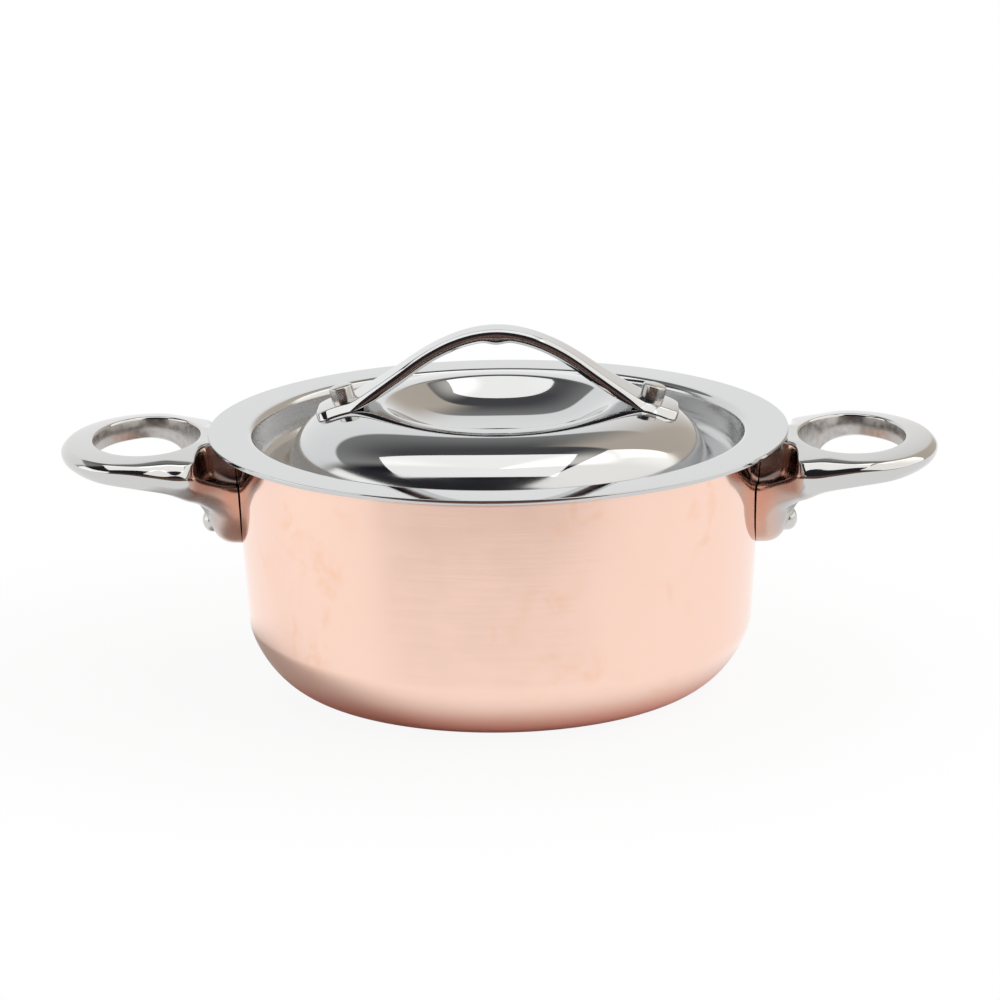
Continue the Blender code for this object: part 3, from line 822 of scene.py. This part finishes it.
# %% The rivets
HEAD_TAPER = 0.985
HEAD_STEPS = 8
SIDE_SHARES = (0.0, 0.05, 0.8)
TAIL_CUTS = (0.45, 0.2)
LID_RIVET_INSET = 0.0055
LID_RIVET_SAG = 0.0003
SIDE_RIVET_DROP = 0.0179
SIDE_RIVET_STAND = 0.0034
Rivet = namedtuple("Rivet", "head_radius head_height dome easing sunk shank_radius "
                   "tail_radius tail_height")
LID_RIVET = Rivet(head_radius=0.0024, head_height=0.0029, dome=0.0005, easing=0.0003,
                  sunk=0.00015, shank_radius=0.0014, tail_radius=0.0025,
                  tail_height=0.0008)
SIDE_RIVET = Rivet(head_radius=0.00245, head_height=0.0034, dome=0.0019, easing=0.0004,
                   sunk=0.0, shank_radius=0.0015, tail_radius=0.0030,
                   tail_height=0.0010)


def rivet_outline(rivet, grip):
    """Half a rivet; its head stands on z = 0, a little sunk, and its shank runs down.
    Close points keep the shading of the head's straight side even."""
    seat = Vector((rivet.head_radius, -rivet.sunk))
    shoulder = Vector((rivet.head_radius * HEAD_TAPER, rivet.head_height - rivet.dome))
    straight = [(seat.lerp(shoulder, share), 0, 0) for share in SIDE_SHARES]
    tail_end = -grip - rivet.tail_height
    end_cut, seat_cut = (rivet.tail_height * share for share in TAIL_CUTS)
    corners = [(Vector((0.0, tail_end)), 0, 0),
               (Vector((rivet.tail_radius, tail_end)), end_cut, 4),
               (Vector((rivet.tail_radius, -grip)), seat_cut, 2),
               (Vector((rivet.shank_radius, -grip)), 0, 0),
               (Vector((rivet.shank_radius, -rivet.sunk)), 0, 0),
               *straight, (shoulder, rivet.easing, 6)]
    swings = [pi / 2 * k / HEAD_STEPS for k in range(1, HEAD_STEPS + 1)]
    crown = [Vector((shoulder.x * cos(swing), shoulder.y + rivet.dome * sin(swing)))
             for swing in swings]
    crown[-1].x = 0.0
    return rounded(corners + [(crown[0], 0, 0)])[:-1] + crown


def make_rivets(name, rivet, grip, reach, height, lean):
    return run_tree(name, pairing, rivet_outline(rivet, grip),
                    {"Steps": 48, "Reach": reach, "Height": height, "Lean": lean,
                     "Metal": RIVET_STEEL})


lid_rivet_reach = STRAP_FOOT_REACH - LID_RIVET_INSET
lid_grip = STRAP_FOOT_SHEET + LID_SHEET + 2 * CLOSE + LID_RIVET_SAG
lid_rivets = make_rivets("lid_rivets", LID_RIVET, lid_grip, lid_rivet_reach,
                         foot_top(lid_rivet_reach).y, foot_tilt(lid_rivet_reach))

# A side rivet's flat tail touches the round wall with its edge
side_rivet_height = POT_HEIGHT - SIDE_RIVET_DROP
side_rivet_seat = RIM_RADIUS + SIDE_RIVET_STAND
bore_radius = wall_radius(side_rivet_height) - WALL_SHEET * hypot(1, WALL_TAPER)
tail_radius = SIDE_RIVET.tail_radius
tail_sag = bore_radius - sqrt(bore_radius ** 2 - tail_radius ** 2)
tail_seat = bore_radius - tail_sag - WALL_TAPER * tail_radius
side_rivets = make_rivets("side_rivets", SIDE_RIVET, side_rivet_seat - tail_seat,
                          side_rivet_seat, side_rivet_height, pi / 2)

# %% [markdown]
# ## Side handles
# Each side handle is one casting: a flat oval loop, a short neck with a scoop on
# either side, and a tongue that spreads down the wall and takes a rivet. It is
# skinned round its finger hole. At each turn from the tip of the loop to the wall,
# a section runs from the hole over the lip, down the scoop to the widest edge,
# round the heel and the keel, and back to the hole. Between the stations that give
# these rails, a smooth curve fills in.

# %% The stations of a side handle
HOLE_REACH = 0.0175
HOLE_HALF_LENGTH = 0.0106
HOLE_HALF_WIDTH = 0.0158
LOOP_TIP_BAND = loop_high.x - RIM_RADIUS - HOLE_REACH - HOLE_HALF_LENGTH
LOOP_SIDE_BAND = 0.0070
LOOP_TOP_DROP = 0.0006
LOOP_EDGE_DROP = 0.0027
LOOP_THICKNESS = 0.0045
LOOP_CROWN = 0.0001
LOOP_CROWN_SHARE = 0.6
LIP_INSET = 0.0012
LIP_RISE = 0.0014
HEEL_DEPTH = 0.0014
KEEL_INSET = 0.0018
TIP_KEEL_DEPTH = 0.0023
SIDE_KEEL_DEPTH = 0.0040
PARTING_RIDGE = 0.0005

Station = namedtuple("Station", "turn rails hole_drop")


def root_station(turn, *shares):
    """A section at the root, given in shares of the hole's reach, the hole's half
    width and the rivet's drop, so the root grows with them."""
    sizes = (HOLE_REACH, HOLE_HALF_WIDTH, SIDE_RIVET_DROP)
    rails = [tuple(share * size for share, size in zip(rail, sizes))
             for rail in shares[:-1]]
    return Station(turn, rails, shares[-1] * SIDE_RIVET_DROP)


# From the end of the even band to the wall, the loop becomes neck and foot. A row
# has its turn, the rails lip, scoop, edge, heel and keel, and the hole's lower end.
ROOT = [root_station(*row) for row in (
    (115, (0.646, 1.228, 0.084), (0.629, 1.297, 0.14), (0.617, 1.348, 0.207),
     (0.623, 1.342, 0.296), (0.657, 1.215, 0.464), 0.358),
    (132, (0.377, 1.114, 0.106), (0.366, 1.2, 0.196), (0.354, 1.247, 0.268),
     (0.366, 1.222, 0.385), (0.446, 1.025, 0.581), 0.514),
    (145, (0.36, 0.785, 0.073), (0.32, 0.82, 0.34), (0.149, 0.911, 0.374),
     (0.166, 0.88, 0.525), (0.297, 0.81, 0.67), 0.62),
    (155, (0.331, 0.551, 0.05), (0.269, 0.575, 0.435), (-0.069, 0.722, 0.469),
     (-0.086, 0.66, 0.7), (0.131, 0.715, 0.80), 0.67),
    (160, (0.229, 0.443, 0.034), (0.16, 0.475, 0.453), (-0.286, 0.68, 0.492),
     (-0.286, 0.5, 0.94), (0.149, 0.65, 0.93), 0.676),
    (165, (-0.086, 0.468, 0.022), (-0.143, 0.5, 0.458), (-0.429, 0.66, 0.492),
     (-0.343, 0.36, 1.13), (0.166, 0.5, 1.09), 0.682),
    (172, (-0.371, 0.348, 0.017), (-0.4, 0.38, 0.458), (-0.486, 0.481, 0.492),
     (-0.371, 0.21, 1.225), (0.18, 0.25, 1.205), 0.687),
    (180, (-0.371, 0.0, 0.011), (-0.429, 0.0, 0.447), (-0.486, 0.0, 0.48),
     (-0.371, 0.0, 1.263), (0.189, 0.0, 1.235), 0.693))]


def loop_station(turn):
    """A section where the loop is an even oval band."""
    ahead = cos(radians(turn))
    beside = sin(radians(turn))

    def inset(depth, drop):
        return (HOLE_REACH + (HOLE_HALF_LENGTH + LOOP_TIP_BAND - depth) * ahead,
                (HOLE_HALF_WIDTH + LOOP_SIDE_BAND - depth) * beside, drop)

    heel_drop = LOOP_EDGE_DROP + HEEL_DEPTH
    keel_drop = LOOP_EDGE_DROP + mix(TIP_KEEL_DEPTH, SIDE_KEEL_DEPTH, 1 - ahead)
    rails = [inset(LIP_INSET, LOOP_EDGE_DROP - LIP_RISE),
             inset(LIP_INSET / 3, LOOP_EDGE_DROP - LIP_RISE / 2),
             inset(0.0, LOOP_EDGE_DROP), inset(LIP_INSET / 4, heel_drop),
             inset(KEEL_INSET, keel_drop)]
    return Station(turn, rails, LOOP_TOP_DROP + LOOP_THICKNESS)


def mirrored(station, whole):
    """The section's twin on the other half of the ring."""
    flipped = [(reach, -half, drop) for reach, half, drop in station.rails]
    return Station(whole - station.turn, flipped, station.hole_drop)


HALF_RING = [loop_station(turn) for turn in (0, 30, 60, 90)] + ROOT
RING = [mirrored(HALF_RING[1], 0)] + HALF_RING + [mirrored(HALF_RING[-2], 360)]
print("stations in half a handle:", len(HALF_RING))


# %% Sections between the stations
# How far each corner of a section is cut back, and in how many steps
PARTING_CUT, CROWN_CUT = (0.0006, 5), (0.0030, 6)
HOLE_TOP_CUT, HOLE_LOW_CUT = (0.0005, 5), (0.0004, 4)
RAIL_CUTS = ((0.0004, 5), (0.0030, 10), (0.0022, 10), (0.0010, 5), (0.0030, 12))


def blend(before, start, end, after, turn):
    """Smooth value between two stations, each given as (turn, value)."""
    span = end[0] - start[0]
    t = (turn - start[0]) / span
    leave = (end[1] - before[1]) * (span / (end[0] - before[0]))
    arrive = (after[1] - start[1]) * (span / (after[0] - start[0]))
    return (start[1] * (2 * t ** 3 - 3 * t * t + 1) + leave * (t ** 3 - 2 * t * t + t)
            + end[1] * (3 * t * t - 2 * t ** 3) + arrive * (t ** 3 - t * t))


def station_at(turn):
    last = max(i for i in range(1, len(RING) - 2) if RING[i].turn <= turn)
    near = RING[last - 1:last + 3]
    rails = [blend(*[(row.turn, Vector(row.rails[k])) for row in near], turn)
             for k in range(len(RAIL_CUTS))]
    hole_drop = blend(*[(row.turn, row.hole_drop) for row in near], turn)
    return Station(turn, rails, hole_drop)


def handle_section(turn, side):
    mirror = -1 if turn > 180 else 1
    station = station_at(360 - turn if turn > 180 else turn)
    swing = radians(station.turn)

    def placed(reach, half, drop):
        return Vector((side * (RIM_RADIUS + reach), mirror * half, POT_HEIGHT - drop))

    def on_hole(drop, proud):
        return placed(HOLE_REACH + (HOLE_HALF_LENGTH - proud) * cos(swing),
                      (HOLE_HALF_WIDTH - proud) * sin(swing), drop)

    hole_top = on_hole(LOOP_TOP_DROP, 0.0)
    hole_low = on_hole(station.hole_drop, 0.0)
    ridge = on_hole((LOOP_TOP_DROP + station.hole_drop) / 2, PARTING_RIDGE)
    wall = rounded([(hole_low, 0, 0), (ridge, *PARTING_CUT), (hole_top, 0, 0)])[1:-1]
    rails = [placed(*rail) for rail in station.rails]
    crown = hole_top.lerp(rails[0], LOOP_CROWN_SHARE) + Vector((0.0, 0.0, LOOP_CROWN))
    outside = rounded([(wall[-1], 0, 0), (hole_top, *HOLE_TOP_CUT), (crown, *CROWN_CUT),
                       *[(rail, *cut) for rail, cut in zip(rails, RAIL_CUTS)],
                       (hole_low, *HOLE_LOW_CUT), (wall[0], 0, 0)])
    return wall[:-1] + outside[:-1]


# %% [markdown]
# The loft runs through the wall, so a turned cutter trims it to the bowl's outside.
# Another one faces off a flat seat for the rivet's head. The Boolean modifier is
# evaluated once and its result kept. Edges sharper than a limit stay sharp, so the
# polished faces don't shade round the cut.

# %% The two side handles
SHARP_FROM = radians(40)


def trim(piece, cutters):
    for cutter in cutters:
        modifier = piece.modifiers.new("trim", "BOOLEAN")
        modifier.operation = "DIFFERENCE"
        modifier.solver = "EXACT"
        modifier.object = cutter
    mesh = evaluated_mesh(piece)
    mesh.set_sharp_from_angle(angle=SHARP_FROM)
    piece.modifiers.clear()
    piece.data = mesh
    print("%s: %d faces after trimming" % (piece.name, len(mesh.polygons)))


def turned_cutter(name, low, high, place):
    """A turned block between two (radius, height) corners, moved into place."""
    corners = [(0.0, low[1]), low, high, (0.0, high[1])]
    cutter = run_tree(name, turning, [Vector(spot) for spot in corners], {"Steps": 96})
    cutter.data.transform(place)
    return cutter


# The casting's seat is flatter than the wall, so a dark gap opens at its edges
SEAT_OFFSET = 0.0130
SEAT_BELOW_RIM, SEAT_ABOVE_RIM = 0.032, 0.006
FACER_RADIUS, FACER_LENGTH = 0.00275, 0.012
HANDLE_SECTIONS = 144
SKIN_FACES_FIRST, SKIN_FACES_LAST = 6, 2


def wall_corner(height):
    return wall_radius(height) + CLOSE + SEAT_OFFSET, height


def make_cutters(side):
    """One cutter for the wall and one for the rivet's head."""
    bowl = turned_cutter("bowl_cutter", wall_corner(POT_HEIGHT - SEAT_BELOW_RIM),
                         wall_corner(POT_HEIGHT + SEAT_ABOVE_RIM),
                         Matrix.Translation((-side * SEAT_OFFSET, 0.0, 0.0)))
    seat = Matrix.Translation((side * side_rivet_seat, 0.0, side_rivet_height))
    facer = turned_cutter("seat_cutter", (FACER_RADIUS, 0.0),
                          (FACER_RADIUS, FACER_LENGTH),
                          seat @ Matrix.Rotation(side * pi / 2, 4, "Y"))
    return bowl, facer


def make_side_handle(side, word):
    sections = [handle_section(360 / HANDLE_SECTIONS * k, side)
                for k in range(HANDLE_SECTIONS)]
    last = len(sections[0]) - SKIN_FACES_LAST
    piece = lofted("handle_" + word, sections, [CAST_STEEL, CAST_SKIN], ring=True,
                   metal_of=lambda k: int(k < SKIN_FACES_FIRST or k >= last))
    cutters = make_cutters(side)
    trim(piece, cutters)
    for cutter in cutters:
        bpy.data.objects.remove(cutter)
    return piece


handle_right = make_side_handle(1, "right")
handle_left = make_side_handle(-1, "left")

# %% [markdown]
# ## Bodies
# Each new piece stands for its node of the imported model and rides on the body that
# the node belongs to, so the lid lifts off with its strap and its rivets.

# %% Ride and replace
PIECES = [
    (copper_ply, "pot", ["copper_shell"], "copper"),
    (core_ply, "pot", ["aluminium_core"], "aluminium"),
    (liner_ply, "pot", ["steel_liner"], "brushed_steel"),
    (handle_left, "pot", ["side_handle_left"], "cast_steel"),
    (handle_right, "pot", ["side_handle_right"], "cast_steel"),
    (side_rivets, "pot", ["side_handle_rivet_left", "side_handle_rivet_right"],
     "cast_steel"),
    (lid_piece, "lid", ["lid_shell"], "polished_steel"),
    (strap_piece, "lid", ["lid_handle"], "polished_steel"),
    (lid_rivets, "lid", ["lid_rivet_left", "lid_rivet_right"], "rivet_steel")]
for piece, body, nodes, slot in PIECES:
    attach(piece, body)
    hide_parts(*nodes)
print("pieces:", [piece.name for piece, *_ in PIECES])

# %% [markdown]
# ## Camera
# The camera stands 0.8 m from the pot with a long lens, 14 degrees above it, and a
# little to its right. It looks slightly down, and leans by less than a degree.

# %% The camera
CAMERA_DISTANCE = 0.800
PIVOT_HEIGHT = 0.050976
AZIMUTH, CLIMB = radians(2.2), radians(14.038)
PAN, TILT, LEAN = radians(0.015), radians(1.057), radians(-0.766)
LENS, SENSOR_WIDTH = 145.33, 36.0


def place_camera():
    data = bpy.data.cameras.new("camera")
    data.lens, data.sensor_width = LENS, SENSOR_WIDTH
    camera = add_object("camera", data)
    bpy.context.scene.camera = camera
    down = CLIMB + TILT
    ahead = Vector((sin(PAN) * cos(down), cos(PAN) * cos(down), -sin(down)))
    right = ahead.cross(Vector((0.0, 0.0, 1.0))).normalized()
    above = right.cross(ahead)
    turned = Matrix((right * cos(LEAN) + above * sin(LEAN),
                     above * cos(LEAN) - right * sin(LEAN), -ahead))
    matrix = turned.transposed().to_4x4()
    matrix.translation = (0.0, -CAMERA_DISTANCE * cos(CLIMB),
                          CAMERA_DISTANCE * sin(CLIMB) + PIVOT_HEIGHT)
    camera.matrix_world = Matrix.Rotation(AZIMUTH, 4, "Z") @ matrix
    return camera


camera = place_camera()
print("camera at", [round(v, 3) for v in camera.matrix_world.translation])

# %% [markdown]
# ## Studio
# Mirror-bright metal is drawn by what stands round it. The pot stands on white paper
# that runs up behind it, and in front a brown table shows in the metal. One softbox
# hangs overhead and one stands at each side. The ceiling is dark, the left wall grey,
# the right one pale with a cream board, and the room behind the camera nearly black.
# In reflections the floor's glow is taken away round the pot, a painted shadow that
# reaches further to the left, and there the lit floor shows its real shadow. The camera
# sees the glow a little weaker near the pot, a faint painted shadow over the real one.

# %% The floor and the table
# Where the floor's glow gives way round the pot, a painted shadow that reaches further to
# the left: strongly in reflections, faintly for the camera
PAINTED_SHADOW_LEFT_STRETCH = 0.66
POT_SHADE = (0.040, 0.056, 0.02)
PAPER_SHADE = (0.05, 0.12, 0.92)


def add_output(tree, kind, share, under, over):
    """Send out one shader, and another one as far as a share says."""
    both = tree.nodes.new("ShaderNodeMixShader")
    for socket, source in zip(both.inputs, (share, under, over)):
        feed(tree, socket, source)
    tree.links.new(both.outputs[0], tree.nodes.new(kind).inputs[0])


def emptied_tree(owner):
    owner.use_nodes = True
    owner.node_tree.nodes.clear()
    return owner.node_tree


def make_floor_paper():
    material = bpy.data.materials.new("studio_floor")
    tree = emptied_tree(material)
    ray = tree.nodes.new("ShaderNodeLightPath").outputs
    x, y, _ = split_axes(tree, object_place(tree))
    sideways = add_math(tree, "MAXIMUM", x, multiply(tree, x, -PAINTED_SHADOW_LEFT_STRETCH))
    away = add_length(tree, sideways, y)
    # Painted shadow: the glow is weaker near the pot, so the lit floor and its real
    # shadow show there
    mirrored = multiply(tree, ray["Is Glossy Ray"], map_range(tree, away, *POT_SHADE))
    seen = multiply(tree, ray["Is Camera Ray"], map_range(tree, away, *PAPER_SHADE))
    add_output(tree, "ShaderNodeOutputMaterial",
               add_math(tree, "MAXIMUM", seen, mirrored),
               add_node(tree, "ShaderNodeBsdfDiffuse", Color=(0.86, 0.86, 0.86)),
               add_node(tree, "ShaderNodeEmission"))
    return material


def make_table_wood():
    material, tree, shader = metal_nodes("brown_table", 0.6)
    join(tree, shader, Metallic=0.0, Base_Color=(0.20, 0.105, 0.075))
    return material


def lay_sheet(material, half, front, back, height):
    """A level sheet, from front to back in Y."""
    mesh = bpy.data.meshes.new(material.name)
    mesh.from_pydata([(-half, front, 0), (half, front, 0), (half, back, 0),
                      (-half, back, 0)], [], [(0, 1, 2, 3)])
    mesh.materials.append(material)
    sheet = add_object(material.name, mesh)
    sheet.location.z = height
    return sheet


floor = lay_sheet(make_floor_paper(), half=3.0, front=-3.0, back=3.0, height=-0.00005)
table = lay_sheet(make_table_wood(), half=2.5, front=-2.5, back=-0.22, height=0.0004)
table.visible_camera = False
print("laid", floor.name, "and", table.name)


# %% The room
def make_room():
    world = bpy.data.worlds.new("studio_room")
    bpy.context.scene.world = world
    tree = emptied_tree(world)
    new = tree.nodes.new
    x, y, z = split_axes(tree, new("ShaderNodeTexCoord").outputs["Generated"])
    bearing = add_math(tree, "ARCTAN2", x, y)
    climb = add_math(tree, "ARCSINE", z)

    def past(value, start, end):
        """A share that grows from 0 at one angle to 1 at another."""
        return map_range(tree, value, radians(start), radians(end))

    upper_wall = past(climb, 56, 32)
    left_wall = multiply(tree, past(bearing, -35, -75), past(climb, 82, 60))
    right_wall = multiply(tree, past(bearing, 20, 50), past(climb, 46, 62))
    dark_room = past(add_math(tree, "ABSOLUTE", bearing), 62, 80)
    table_edge = multiply(tree, dark_room, past(climb, 13, 9))
    paper = multiply(tree, past(climb, 34, 32), past(bearing, -74, -60),
                     past(bearing, 60, 50))
    cream_board = multiply(tree, past(climb, 52, 50), past(bearing, 2, 24),
                           past(bearing, 62, 56))
    room = (0.085, 0.085, 0.09)
    for share, colour in (
            (upper_wall, (0.26, 0.26, 0.26)), (left_wall, (0.34, 0.34, 0.33)),
            (right_wall, (0.85, 0.82, 0.77)), (dark_room, (0.022, 0.022, 0.027)),
            (table_edge, (0.16, 0.085, 0.06)), (paper, (1.0, 1.0, 1.0)),
            (cream_board, (0.62, 0.55, 0.47))):
        room = add_layer(tree, share, room, colour)
    mirrored = add_node(tree, "ShaderNodeBackground", Color=room)
    seen = add_node(tree, "ShaderNodeBackground")
    add_output(tree, "ShaderNodeOutputWorld",
               new("ShaderNodeLightPath").outputs["Is Camera Ray"], mirrored, seen)
    print("room:", len(tree.nodes), "nodes")


make_room()


# %% The softboxes
def softbox(name, place, facing, width, height, colour, level):
    """A rectangular lamp whose face has a plain brightness of level."""
    light = bpy.data.lights.new(name, "AREA")
    light.shape = "RECTANGLE"
    light.size, light.size_y = width, height
    light.energy = level * pi * width * height
    light.color = colour
    lamp = add_object(name, light)
    lamp.rotation_euler = Vector(facing).to_track_quat("-Z", "Y").to_euler()
    lamp.location = place
    lamp.visible_camera = False


softbox("overhead_box", (-0.165, 0.10, 0.92), (0.0, 0.376, -0.927), 0.98, 0.80,
        (1.0, 0.99, 0.97), 1.28)
softbox("left_box", (-0.90, -0.22, 0.25), (1.0, 0.1, 0.0), 0.95, 0.50,
        (1.0, 0.995, 0.97), 1.4)
softbox("right_box", (0.70, -0.22, 0.50), (-0.80, 0.05, -0.60), 1.50, 1.10,
        (1.0, 0.98, 0.94), 1.22)

# %% Colour management
bpy.context.scene.view_settings.view_transform = "Standard"
